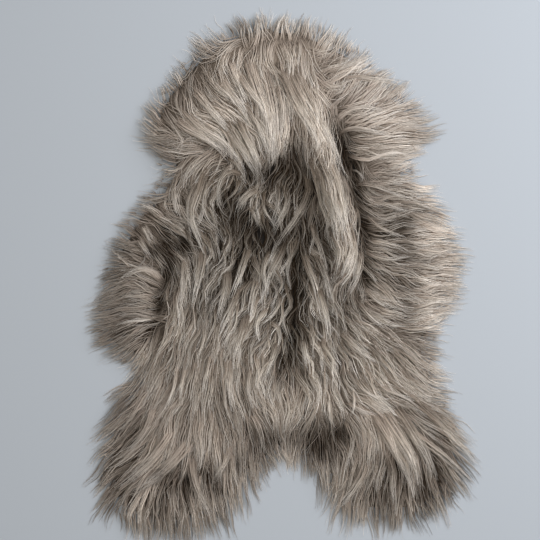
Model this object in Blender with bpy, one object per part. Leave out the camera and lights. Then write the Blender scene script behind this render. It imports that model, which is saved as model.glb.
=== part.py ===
"""A long-wool sheepskin rug, laid flat with its wool up.

Two solids: the tanned skin, cut to the outline of the animal, and the fleece that
grows from it. The fleece is a lumpy slab that overhangs the skin and rests on the
floor, and it breaks up into locks all round its rim.

+Z is up and +Y points to the neck end. The origin is on the floor under the middle
of the skin. Tables are in millimetres and degrees; everything else is in metres.
"""

import math

import bmesh
import bpy
import numpy as np
from mathutils import Vector, geometry, noise

MM = 0.001

SKIN_THICKNESS = 2.0 * MM
SEAT_GAP = 0.3 * MM  # between the skin and the wool that lies on it
SKIN_CURVE_STEPS = 4  # straight pieces in each stretch of the skin's edge

PILE_DEPTH = 44 * MM  # the wool's depth over the middle of the skin
RIM_DEPTH = 13 * MM  # its depth where it breaks up into locks
RIM_SLOPE = 62 * MM  # how far from the rim the pile comes near its full depth
LEAST_DEPTH = 9 * MM
TOP_SPACING = 16.5 * MM  # between the points of the slab's top
CLEAR_OF_RIM = 0.75  # of TOP_SPACING, between those points and the rim's own

LUMP_RISE = 8 * MM  # unevenness that follows the lie of the wool
LUMP_LENGTH = 62 * MM
LUMP_BREADTH = 27 * MM
LUMP_AT_RIM = 0.4  # share of the unevenness that is left at the rim
BACK_HALF_WIDTH = 170 * MM  # within it the lumps run head to tail, beyond it outwards
BACK_BLEND = 0.6  # how abruptly the lumps turn there: 0 is gradual

LOCK_BREADTH = 14.5 * MM  # at its root, and so the distance from lock to lock
LOCK_SPREAD = 0.22  # share of it by which the locks' places vary
LOCK_STEPS = 3
LOCK_SWAY = 80  # degrees by which the locks may turn aside on their way, at the very most
SWAY_RUN = 8  # locks, about, from one turn of the sway to the next: neighbours never cross
LOCK_UNEVENNESS = 0.7  # share by which a lock may be longer or shorter, at the very most
UNEVENNESS_RUN = 1.2  # locks, about, from a long one to a short one
LOCK_TIP = 0.07  # the tip's breadth and depth, as a share of the root's
LOCK_TAPER = 1.6  # 1 tapers evenly, more keeps the lock full for longer

# The skin's edge, clockwise from the neck: where it is, which way the wool leaves it,
# how far the slab overhangs it there, and how far the locks reach beyond the slab.
EDGE_COLUMNS = ("x", "y", "heading", "overhang", "lock")
EDGE = (
    ("neck", (0, 441, 90, 28, 46)),
    ("neck_right", (76, 414, 72, 26, 39)),
    ("nape_right", (141, 365, 48, 26, 36)),
    ("foreleg_right_front", (198, 315, 32, 26, 40)),
    ("foreleg_right_tip", (232, 268, 6, 27, 38)),
    ("armpit_right", (196, 209, 12, 24, 27)),
    ("brisket_right", (243, 133, 10, 26, 36)),
    ("belly_right", (287, 27, 0, 28, 42)),
    ("flank_right", (257, -76, -4, 26, 34)),
    ("waist_right", (241, -137, -10, 25, 34)),
    ("thigh_right", (264, -239, -20, 27, 52)),
    ("hock_right", (295, -308, -36, 30, 70)),
    ("hindleg_right_corner", (270, -384, -64, 32, 64)),
    ("hindleg_right_end", (194, -403, -88, 32, 66)),
    ("hindleg_right_inside", (114, -395, -106, 30, 56)),
    ("rump_right", (72, -340, -100, 25, 34)),
    ("tail", (8, -306, -91, 24, 34)),
    ("rump_left", (-57, -334, -80, 26, 42)),
    ("hindleg_left_inside", (-135, -399, -80, 30, 60)),
    ("hindleg_left_end", (-224, -431, -95, 32, 58)),
    ("hindleg_left_corner", (-296, -407, -121, 30, 54)),
    ("hock_left", (-310, -338, -142, 27, 42)),
    ("thigh_left", (-293, -239, -153, 26, 36)),
    ("notch_left", (-247, -167, -160, 20, 26)),
    ("flap_left_corner", (-309, -122, -164, 28, 40)),
    ("flap_left", (-312, -42, -178, 26, 34)),
    ("belly_left", (-285, 57, -196, 26, 32)),
    ("brisket_left", (-247, 116, -214, 26, 32)),
    ("armpit_left", (-196, 182, -195, 22, 25)),
    ("foreleg_left_back", (-209, 236, -178, 24, 30)),
    ("foreleg_left_tip", (-232, 268, -187, 27, 38)),
    ("foreleg_left_front", (-209, 319, -204, 26, 34)),
    ("nape_left", (-169, 372, -225, 26, 36)),
    ("neck_left", (-95, 429, -250, 26, 40)),
)

# Where the wool is heaped up or parted: a ridge or, with a negative rise, a valley
# along a line from one point to another.
FORM_COLUMNS = ("x0", "y0", "x1", "y1", "breadth", "rise")
FORMS = (
    ("combed_crest_upper", (19, 380, 72, 240, 18, 14)),
    ("combed_crest_lower", (80, 222, 124, 50, 16, 16)),
    ("neck_mane", (-65, 391, -46, 239, 34, 9)),
    ("shoulder_left", (-230, 287, -116, 268, 30, 8)),
    ("shoulder_right", (131, 334, 255, 281, 34, 9)),
    ("curl_column_left", (-179, 201, -163, 40, 18, 10)),
    ("flank_fold_right", (243, 144, 243, -188, 20, 12)),
    ("flap_left_swell", (-281, 59, -300, -103, 28, 8)),
    ("rump_swell", (-135, -103, -116, -236, 50, 6)),
    ("loin_swell_right", (65, -103, 68, -236, 24, 7)),
    ("hindleg_left_swell", (-277, -283, -211, -369, 38, 8)),
    ("hindleg_right_swell", (169, -245, 264, -340, 36, 12)),
    ("withers_hollow", (-2, 198, 49, 135, 24, -18)),
    ("saddle_hollow", (-135, 59, -21, 78, 24, -15)),
    ("spine_parting", (17, 40, 2, -169, 14, -13)),
    ("flank_parting_left", (-228, 68, -243, -103, 18, -17)),
    ("flank_parting_right", (160, 150, 152, -4, 15, -17)),
    ("shoulder_pit_right", (114, 258, 132, 200, 14, -12)),
    ("tail_hollow", (-34, -312, 87, -312, 20, -13)),
    ("nape_dip_right", (74, 380, 141, 365, 12, -7)),
    ("mane_dip_left", (-84, 304, -70, 282, 12, -8)),
)

WOOL_COLOUR = (0.30, 0.26, 0.22, 1)
SKIN_COLOUR = (0.62, 0.53, 0.42, 1)

SHARP_ANGLE = math.radians(50)  # edges sharper than this aren't shaded smooth
SAMPLES_PER_ROW = 40  # fine steps between two rows of EDGE
SEED = Vector((11.3, 4.7, 2.9))  # where each kind of unevenness is read from the noise
FLANK_SEED = SEED + Vector((0, 0, 5))
LENGTH_SEED = SEED + Vector((0, 1.5, 0))
SWAY_SEED = SEED + Vector((0, 8.5, 0))


def clear_scene():
    for obj in list(bpy.data.objects):
        bpy.data.objects.remove(obj)


def new_collection(name):
    collection = bpy.data.collections.new(name)
    bpy.context.scene.collection.children.link(collection)
    return collection


def new_material(name, colour, roughness):
    material = bpy.data.materials.new(name)
    material.use_nodes = True
    shader = material.node_tree.nodes["Principled BSDF"]
    shader.inputs["Base Color"].default_value = colour
    shader.inputs["Roughness"].default_value = roughness
    shader.inputs["Metallic"].default_value = 0
    return material


def add_object(name, data, collection, material=None):
    obj = bpy.data.objects.new(name, data)
    collection.objects.link(obj)
    if material:
        data.materials.append(material)
    return obj


def smooth_round(values, per_row):
    """A closed Catmull-Rom curve through the rows of values."""
    before, after, next_after = (np.roll(values, shift, axis=0) for shift in (1, -1, -2))
    t = np.linspace(0, 1, per_row, endpoint=False)[None, :, None]
    start, end = values[:, None], after[:, None]
    before, next_after = before[:, None], next_after[:, None]
    curve = 0.5 * (
        2 * start
        + (end - before) * t
        + (2 * before - 5 * start + 4 * end - next_after) * t**2
        + (3 * start - before - 3 * end + next_after) * t**3
    )
    return curve.reshape(-1, values.shape[1])


def fine_edge():
    """The skin's edge in fine steps: x, y, the wool's direction, overhang and lock length."""
    rows = np.array([values for _, values in EDGE], float)
    turn = np.radians(rows[:, EDGE_COLUMNS.index("heading")])
    columns = {name: rows[:, i] * MM for i, name in enumerate(EDGE_COLUMNS)}
    joined = np.stack(
        [columns["x"], columns["y"], np.cos(turn), np.sin(turn), columns["overhang"], columns["lock"]],
        axis=1,
    )
    fine = smooth_round(joined, SAMPLES_PER_ROW)
    fine[:, 2:4] /= np.linalg.norm(fine[:, 2:4], axis=1)[:, None]
    return fine


def rim_of_slab():
    """Points round the slab's rim, one lock's breadth apart, each with its lock's direction and length."""
    fine = fine_edge()
    rim = fine[:, 0:2] + fine[:, 2:4] * fine[:, 4:5]
    closed = np.vstack([rim, rim[:1]])
    run = np.concatenate([[0], np.cumsum(np.linalg.norm(np.diff(closed, axis=0), axis=1))])
    count = round(run[-1] / LOCK_BREADTH)
    numbers = np.arange(count)
    golden_angle = math.pi * (3 - math.sqrt(5))
    places = (numbers + LOCK_SPREAD * np.sin(numbers * golden_angle)) * run[-1] / count
    columns = np.hstack([closed, np.vstack([fine[:, 2:], fine[:1, 2:]])])
    return np.stack([np.interp(places % run[-1], run, column) for column in columns.T], axis=1)


def distance_to_line(x, y, start, end):
    along = end - start
    point = Vector((x, y)) - start
    share = min(1, max(0, point.dot(along) / along.length_squared))
    return (point - along * share).length


def lump(x, y):
    """Unevenness from -1 to 1, drawn out head to tail on the back and sideways beyond it."""
    sideways = min(1, max(0, abs(x) / BACK_HALF_WIDTH - BACK_BLEND))
    head_to_tail = SEED + Vector((x / LUMP_BREADTH, y / LUMP_LENGTH, 0))
    outwards = FLANK_SEED + Vector((x / LUMP_LENGTH, y / LUMP_BREADTH, 0))
    return noise.noise(head_to_tail) * (1 - sideways) + noise.noise(outwards) * sideways


def pile_depth(x, y, from_rim):
    """The height of the wool's top above the floor, from_rim metres in from the slab's rim."""
    inward = 1 - math.exp(-from_rim / RIM_SLOPE)
    depth = RIM_DEPTH + (PILE_DEPTH - RIM_DEPTH) * inward
    depth += LUMP_RISE * lump(x, y) * (LUMP_AT_RIM + (1 - LUMP_AT_RIM) * inward)
    for _, values in FORMS:
        form = dict(zip(FORM_COLUMNS, (value * MM for value in values)))
        start, end = Vector((form["x0"], form["y0"])), Vector((form["x1"], form["y1"]))
        off = distance_to_line(x, y, start, end) / form["breadth"]
        depth += form["rise"] * math.exp(-off * off / 2) * inward
    return max(LEAST_DEPTH, depth)


def points_inside(rim):
    """A triangular grid of points inside the rim, with each one's distance from it."""
    ends = np.roll(rim, -1, axis=0)
    low, high = rim.min(axis=0), rim.max(axis=0)
    row_height = TOP_SPACING * math.sqrt(3) / 2
    found = []
    for row in range(int((high[1] - low[1]) / row_height) + 1):
        y = low[1] + row * row_height
        crossing = (rim[:, 1] > y) != (ends[:, 1] > y)
        slope = (ends[crossing, 0] - rim[crossing, 0]) / (ends[crossing, 1] - rim[crossing, 1])
        crossed_at = rim[crossing, 0] + (y - rim[crossing, 1]) * slope
        for x in np.arange(low[0] + (row % 2) * TOP_SPACING / 2, high[0], TOP_SPACING):
            inside = np.count_nonzero(crossed_at > x) % 2
            from_rim = np.linalg.norm(rim - (x, y), axis=1).min()
            if inside and from_rim > CLEAR_OF_RIM * TOP_SPACING:
                found.append((x, y, from_rim))
    return found


def slab_top(rim):
    """The slab's top as an open sheet of triangles."""
    inner = points_inside(rim)
    flat = [Vector(point) for point in rim] + [Vector(point[:2]) for point in inner]
    count = len(rim)
    ring = [(i, (i + 1) % count) for i in range(count)]
    _, _, faces, _, _, _ = geometry.delaunay_2d_cdt(flat, ring, [], 1, 1e-6)
    bm = bmesh.new()
    depths = [0] * count + [from_rim for _, _, from_rim in inner]
    verts = [bm.verts.new((*point, pile_depth(*point, off))) for point, off in zip(flat, depths)]
    for face in faces:
        bm.faces.new([verts[i] for i in face])
    return bm, verts[:count]


def close_slab(bm):
    """Adds the slab's wall, one face for each lock, and its flat underside."""
    border = [edge for edge in bm.edges if edge.is_boundary]
    made = bmesh.ops.extrude_edge_only(bm, edges=border)["geom"]
    for vert in (item for item in made if isinstance(item, bmesh.types.BMVert)):
        vert.co.z = 0
    foot = [item for item in made if isinstance(item, bmesh.types.BMEdge) and item.is_boundary]
    bmesh.ops.edgeloop_fill(bm, edges=foot)
    bmesh.ops.recalc_face_normals(bm, faces=bm.faces)
    return [item for item in made if isinstance(item, bmesh.types.BMFace)]


def draw_out_lock(bm, wall, direction, length, number):
    """Draws one face of the wall out into a tapering lock whose foot stays on the floor."""
    longer = LOCK_UNEVENNESS * noise.noise(LENGTH_SEED + Vector((number / UNEVENNESS_RUN, 0, 0)))
    sway = math.radians(LOCK_SWAY) * noise.noise(SWAY_SEED + Vector((number / SWAY_RUN, 0, 0)))
    reach = length * (1 + longer)
    size = 1
    for step in range(1, LOCK_STEPS + 1):
        wall = bmesh.ops.extrude_discrete_faces(bm, faces=[wall])["faces"][0]
        share = step / LOCK_STEPS
        new_size = 1 + (LOCK_TIP - 1) * share**LOCK_TAPER
        turn = sway * share
        heading = Vector((
            direction.x * math.cos(turn) - direction.y * math.sin(turn),
            direction.x * math.sin(turn) + direction.y * math.cos(turn),
            0,
        ))
        centre = wall.calc_center_median()
        centre.z = 0
        for vert in wall.verts:
            vert.co = centre + (vert.co - centre) * (new_size / size) + heading * reach / LOCK_STEPS
        size = new_size


def skin_curve(name, collection, low, high, outset):
    """The skin's outline, filled and extruded from height low to height high."""
    curve = bpy.data.curves.new(name, "CURVE")
    curve.dimensions = "2D"
    curve.fill_mode = "BOTH"
    curve.resolution_u = SKIN_CURVE_STEPS
    curve.extrude = (high - low) / 2
    curve.offset = outset
    spline = curve.splines.new("BEZIER")
    spline.bezier_points.add(len(EDGE) - 1)
    spline.use_cyclic_u = True
    for point, (_, values) in zip(spline.bezier_points, EDGE):
        point.co = (values[0] * MM, values[1] * MM, 0)
        point.handle_left_type = point.handle_right_type = "AUTO"
    obj = add_object(name, curve, collection)
    obj.location.z = (low + high) / 2
    return obj


def as_mesh(obj, collection):
    """The curve object made a closed mesh of the same name."""
    bpy.context.view_layer.update()
    evaluated = obj.evaluated_get(bpy.context.evaluated_depsgraph_get())
    mesh = bpy.data.meshes.new_from_object(evaluated)
    name, matrix = obj.name, obj.matrix_world.copy()
    bpy.data.objects.remove(obj)
    bm = bmesh.new()
    bm.from_mesh(mesh)
    bmesh.ops.remove_doubles(bm, verts=bm.verts, dist=1e-6)
    bmesh.ops.recalc_face_normals(bm, faces=bm.faces)
    bm.to_mesh(mesh)
    bm.free()
    mesh.shade_smooth()
    mesh.set_sharp_from_angle(angle=SHARP_ANGLE)
    made = add_object(name, mesh, collection)
    made.matrix_world = matrix
    return made


def make_skin(collection):
    skin = as_mesh(skin_curve("skin", collection, 0, SKIN_THICKNESS, 0), collection)
    skin.data.materials.append(new_material("tanned_skin", SKIN_COLOUR, 0.85))
    return skin


def make_fleece(collection, cutters):
    rim = rim_of_slab()
    bm, rim_verts = slab_top(rim[:, 0:2])
    places = {vert: i for i, vert in enumerate(rim_verts)}
    for wall in close_slab(bm):
        first, second = sorted(places[vert] for vert in wall.verts if vert in places)
        start = second if (first, second) == (0, len(rim) - 1) else first
        draw_out_lock(bm, wall, Vector(rim[start, 2:4]), rim[start, 5], start)
    bmesh.ops.recalc_face_normals(bm, faces=bm.faces)
    mesh = bpy.data.meshes.new("fleece")
    bm.to_mesh(mesh)
    bm.free()
    mesh.shade_smooth()
    mesh.set_sharp_from_angle(angle=SHARP_ANGLE)
    fleece = add_object("fleece", mesh, collection, new_material("wool", WOOL_COLOUR, 0.9))

    seat = skin_curve("skin_seat", cutters, -SKIN_THICKNESS, SKIN_THICKNESS + SEAT_GAP, SEAT_GAP)
    seat = as_mesh(seat, cutters)
    seat.hide_render = True
    seat.display_type = "WIRE"
    cut = fleece.modifiers.new("skin_seat", "BOOLEAN")
    cut.operation = "DIFFERENCE"
    cut.object = seat
    return fleece


def main():
    clear_scene()
    rug = new_collection("sheepskin_rug")
    cutters = new_collection("cutters")
    make_skin(rug)
    make_fleece(rug, cutters)


main()
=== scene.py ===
import math
from functools import partial

import bmesh
import bpy
import numpy as np
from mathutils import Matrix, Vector
from mathutils.bvhtree import BVHTree
from mathutils.kdtree import KDTree


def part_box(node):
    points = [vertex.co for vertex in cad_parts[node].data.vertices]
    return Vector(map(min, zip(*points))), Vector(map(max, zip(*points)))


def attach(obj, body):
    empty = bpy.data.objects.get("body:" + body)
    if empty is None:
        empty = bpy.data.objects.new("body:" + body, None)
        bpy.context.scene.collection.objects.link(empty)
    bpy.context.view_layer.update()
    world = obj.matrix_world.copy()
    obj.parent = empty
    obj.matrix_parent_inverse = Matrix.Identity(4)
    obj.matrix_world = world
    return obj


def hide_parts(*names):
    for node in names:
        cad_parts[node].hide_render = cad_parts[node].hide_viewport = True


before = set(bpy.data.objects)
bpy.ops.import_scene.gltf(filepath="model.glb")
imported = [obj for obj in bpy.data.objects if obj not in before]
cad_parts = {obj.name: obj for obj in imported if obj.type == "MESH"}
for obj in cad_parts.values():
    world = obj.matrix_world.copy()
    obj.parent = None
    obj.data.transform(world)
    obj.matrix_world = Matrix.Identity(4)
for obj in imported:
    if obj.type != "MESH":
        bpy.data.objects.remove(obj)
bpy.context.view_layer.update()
mm = 0.001
leather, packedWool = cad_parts["skin"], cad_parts["fleece"]


def linearColor(hexColor):
    parts = [int(hexColor[i:i + 2], 16) / 255 for i in (1, 3, 5)]
    return [p / 12.92 if p <= 0.04045 else ((p + 0.055) / 1.055) ** 2.4 for p in parts] + [1.0]


def setInputs(tree, node, inputs):
    # inputs: values to set, or nodes or their outputs to link, by socket or in the sockets' order
    for name, value in inputs.items() if isinstance(inputs, dict) else enumerate(inputs):
        if isinstance(value, bpy.types.Node):
            value = value.outputs[0]
        if isinstance(value, bpy.types.NodeSocket):
            tree.links.new(value, node.inputs[name])
        else:
            node.inputs[name].default_value = value


def addNode(tree, kind, inputs=(), **settings):
    node = tree.nodes.new(kind)
    for name, value in settings.items():
        setattr(node, name, value)
    setInputs(tree, node, inputs)
    return node


def newMaterial(name):
    # returns the material, a function that adds a node to it and one that sets its shader's inputs
    material = bpy.data.materials.new(name)
    material.use_nodes = True
    tree = material.node_tree
    return material, partial(addNode, tree), partial(setInputs, tree, tree.nodes["Principled BSDF"])


def fillRamp(node, stops):
    # stops: position -> hex colour, lowest first
    elements = node.color_ramp.elements
    while len(elements) > 1:
        elements.remove(elements[-1])
    for i, (position, hexColor) in enumerate(stops.items()):
        element = elements[0] if i == 0 else elements.new(position)
        element.position = position
        element.color = linearColor(hexColor)


def newTree(name, inputs):
    # inputs: name -> usual value
    kinds = {int: "NodeSocketInt", float: "NodeSocketFloat", bpy.types.Material: "NodeSocketMaterial"}
    tree = bpy.data.node_groups.new(name, "GeometryNodeTree")
    for way in ("INPUT", "OUTPUT"):
        tree.interface.new_socket("Geometry", in_out=way, socket_type="NodeSocketGeometry")
    for inputName, usual in inputs.items():
        socket = tree.interface.new_socket(inputName, in_out="INPUT", socket_type=kinds[type(usual)])
        socket.default_value = usual
    return tree


def addToScene(name, data):
    obj = bpy.data.objects.new(name, data)
    bpy.context.scene.collection.objects.link(obj)
    return obj


def runTree(obj, tree, values, finishedName):
    # puts the tree on obj, sets its inputs by identifier, and returns the result as a plain mesh
    modifier = obj.modifiers.new(tree.name, "NODES")
    modifier.node_group = tree
    for item in tree.interface.items_tree:
        if item.in_out == "INPUT" and item.name in values:
            modifier[item.identifier] = values[item.name]
    evaluated = obj.evaluated_get(bpy.context.evaluated_depsgraph_get())
    mesh = bpy.data.meshes.new_from_object(evaluated)
    mesh.name = finishedName
    bpy.data.objects.remove(obj)
    return addToScene(finishedName, mesh)


def joined(pieces, name):
    # one piece from several
    with bpy.context.temp_override(active_object=pieces[0], selected_editable_objects=pieces):
        if len(pieces) > 1:
            bpy.ops.object.join()
    pieces[0].name = pieces[0].data.name = name
    return pieces[0]


def triangleCount(obj):
    return sum(len(p.vertices) - 2 for p in obj.data.polygons)


# the wool's depth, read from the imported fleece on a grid
depthMap = {
    "step": 4 * mm,
    "margin": 60 * mm,
    "lookFrom": 200 * mm,
    "blur": 9 * mm,
    "rimBlur": 22 * mm,
    "slabEdge": 10 * mm,       # the slab reaches as far as the wool is deeper than this
}


def blurred(grid, radius):
    # gaussian blur of a grid, out to three times its radius
    reach = int(3 * radius / depthMap["step"])
    kernel = np.exp(-0.5 * (np.arange(-reach, reach + 1) * depthMap["step"] / radius) ** 2)
    kernel /= kernel.sum()
    for axis in (0, 1):
        grid = np.apply_along_axis(lambda line: np.convolve(line, kernel, mode="same"), axis, grid)
    return grid


def fleeceCorners():
    return [np.array(corner)[:2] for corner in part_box("fleece")]


def readDepth():
    low, high = fleeceCorners()
    low, high = low - depthMap["margin"], high + depthMap["margin"]
    xs = np.arange(low[0], high[0], depthMap["step"])
    ys = np.arange(low[1], high[1], depthMap["step"])
    bm = bmesh.new()
    bm.from_mesh(packedWool.data)
    tree = BVHTree.FromBMesh(bm)
    depth = np.zeros((len(xs), len(ys)))
    down = Vector((0, 0, -1))
    for i, x in enumerate(xs):
        for j, y in enumerate(ys):
            hit = tree.ray_cast(Vector((x, y, depthMap["lookFrom"])), down)[0]
            if hit:
                depth[i, j] = hit.z
    bm.free()
    return low, depth


gridLow, rawDepth = readDepth()
slabMask = (rawDepth > depthMap["slabEdge"]).astype(float)
smoothDepth = blurred(rawDepth, depthMap["blur"])
innerness = blurred(slabMask, depthMap["rimBlur"])     # 0.5 at the slab's rim, 1 well inside
slabRim = 0.5


def sample(grid, points):
    # bilinear look-up at points (..., 2), in metres
    spots = (points - gridLow) / depthMap["step"]
    spots = np.clip(spots, 0, np.array(grid.shape) - 1.001)      # so that the next grid point is there too
    i = spots.astype(int)
    f = spots - i
    i, j, u, v = i[..., 0], i[..., 1], f[..., 0], f[..., 1]
    return ((grid[i, j] * (1 - u) + grid[i + 1, j] * u) * (1 - v)
            + (grid[i, j + 1] * (1 - u) + grid[i + 1, j + 1] * u) * v)


def distanceOutside():
    # how far each grid point lies outside the slab, 0 inside it
    inside = np.argwhere(slabMask > 0.5)
    tree = KDTree(len(inside))
    for number, (i, j) in enumerate(inside):
        tree.insert((i * depthMap["step"], j * depthMap["step"], 0), number)
    tree.balance()
    away = np.zeros(slabMask.shape)
    for i, j in np.argwhere(slabMask < 0.5):
        away[i, j] = tree.find((i * depthMap["step"], j * depthMap["step"], 0))[2]
    return away


outside = distanceOutside()
gridSteps = [np.arange(size) * depthMap["step"] for size in rawDepth.shape]
gridPoints = gridLow + np.stack(np.meshgrid(*gridSteps, indexing="ij"), axis=2)
print("depth map", rawDepth.shape, "deepest", round(float(smoothDepth.max()), 4))

# how the wool is combed: rows from the neck to the hind legs, height in mm -> x in mm and heading
# in degrees by turns, from left to right; 0 is right, 90 towards the neck
combRows = {
    475: (-70,110, 0,90, 62,72),
    452: (-130,122, -66,100, 0,88, 66,70, 122,50),
    424: (-160,135, -95,-110, -40,-90, 17,-90, 82,60, 140,45),
    388: (-205,135, -160,-65, -105,-70, -40,-68, 27,-85, 92,8, 160,30),
    342: (-232,140, -180,-60, -125,-57, -68,-60, -10,-75, 46,-72, 95,60, 140,45, 196,40, 240,30),
    295: (-255,150, -205,-35, -170,-30, -125,-50, -68,-58, -20,-88, 46,-68, 88,-68, 130,25, 190,20, 245,20),
    247: (-268,172, -220,172, -165,180, -88,-65, -30,-90, 46,-70, 92,-70, 140,-5, 196,8, 265,15),
    200: (-230,178, -172,-125, -115,-135, -68,-60, -20,-90, 50,-66, 92,-66, 132,-80, 178,14, 226,28),
    154: (-250,165, -192,-110, -134,-108, -78,-130, -30,-90, 26,-90, 92,-88, 137,-60, 170,0, 208,5, 264,5),
    116: (-296,165, -268,150, -245,-45, -218,-50, -182,-98, -115,-90, -68,-125, 8,-90, 102,-90, 160,-20,
          216,4, 292,-10),
    76: (-330,165, -300,145, -268,-48, -238,-60, -172,-90, -106,-90, -68,-80, -10,-104, 55,-80, 122,-76,
         163,-33, 216,0, 292,2),
    30: (-344,168, -300,160, -264,142, -242,-65, -205,-85, -125,-105, -50,-108, 8,-92, 74,-80, 125,-100,
         170,-28, 216,-8, 302,0),
    8: (-344,190, -300,184, -268,160, -240,140, -214,-95),
    -17: (-353,203, -305,194, -268,168, -240,150, -213,-95, -144,-104, -68,-106, 0,-92, 60,-78, 122,-110,
          163,-28, 226,-10, 302,0),
    -45: (-353,203, -305,194, -262,174, -236,165, -212,-100),
    -74: (-353,203, -305,196, -262,182, -238,178, -213,-104, -115,-104, -50,-106, 17,-90, 80,-76, 131,-47,
          178,-35, 235,-8, 292,0),
    -105: (-353,206, -305,204, -268,204, -236,-108),
    -131: (-362,207, -320,208, -280,214, -252,-108, -182,-107, -97,-108, -30,-105, 26,-86, 80,-78, 126,-40,
           188,-38, 240,-25, 277,-5),
    -188: (-325,202, -287,213, -249,-102, -172,-104, -97,-92, -30,-98, 36,-78, 84,-78, 131,-53, 188,-40,
           240,-30, 289,-10),
    -245: (-338,212, -296,228, -240,-102, -163,-104, -97,-90, -30,-77, 46,-88, 112,-62, 175,-38, 232,-38,
           302,-18),
    -302: (-344,232, -296,238, -240,-112, -172,-104, -97,-88, -34,-72, 46,-94, 112,-86, 170,-82, 226,-62,
           292,-44, 340,-38),
    -359: (-344,238, -287,230, -230,228, -163,-95, -78,-80, 65,-96, 131,-102, 188,-92, 245,-70, 312,-55),
    -416: (-338,232, -277,240, -210,-95, -135,-84, 84,-110, 140,-105, 198,-90, 264,-72, 312,-62),
    -473: (-315,250, -258,-100, -201,-92, -135,-80, 112,-100, 188,-90, 274,-72),
}
combing = {
    "core": 12 * mm,           # strokes nearer than this count alike
    "sharpness": 3.0,          # how much more the nearest strokes count
    "swirl": 14,               # degrees that the coat strays from the strokes in small swirls
    "swirlBreadth": 22 * mm,
    "swirlSeed": 12,
    "swirlGrowth": (0.15, 0.75, 0.3, 1.3),     # share of it without wave, more for a wave of 1, least, most
    "rimBand": (0.6, 0.85),    # innerness: towards the first, locks that would lie inwards are turned out
    "rimTurn": 2.0,            # how much the way out counts there
    "turnWidth": 0.6,          # how gradually it counts as a lock turns inwards
}


def unit(vectors):
    return vectors / (np.linalg.norm(vectors, axis=1)[:, None] + 1e-9)


def turned(vectors, angles):
    c, s = np.cos(angles), np.sin(angles)
    return np.stack([vectors[:, 0] * c - vectors[:, 1] * s, vectors[:, 0] * s + vectors[:, 1] * c], axis=1)


combTable = np.array([(x * mm, y * mm, math.radians(heading)) for y, row in combRows.items()
                      for x, heading in zip(row[::2], row[1::2])])
strokePlaces = combTable[:, :2]
strokeHeadings = np.stack([np.cos(combTable[:, 2]), np.sin(combTable[:, 2])], axis=1)
rimSlopes = np.gradient(innerness)


def combAt(points):
    # the combed direction at points (n, 2): nearby strokes count most
    apart = ((points[:, None] - strokePlaces[None]) ** 2).sum(axis=2) + combing["core"] ** 2
    heading = (apart ** -combing["sharpness"]) @ strokeHeadings
    heading = unit(turned(unit(heading), sample(swirls, points)))
    # the wool lies out over the rim all round
    outwards = unit(-np.stack([sample(slope, points) for slope in rimSlopes], axis=1))
    outmost, inmost = combing["rimBand"]
    nearRim = np.clip((inmost - sample(innerness, points)) / (inmost - outmost), 0, 1)
    wrongWay = np.clip(0.5 - (heading * outwards).sum(axis=1) / combing["turnWidth"], 0, 1)
    return unit(heading + outwards * (combing["rimTurn"] * nearRim * wrongWay)[:, None])


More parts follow.
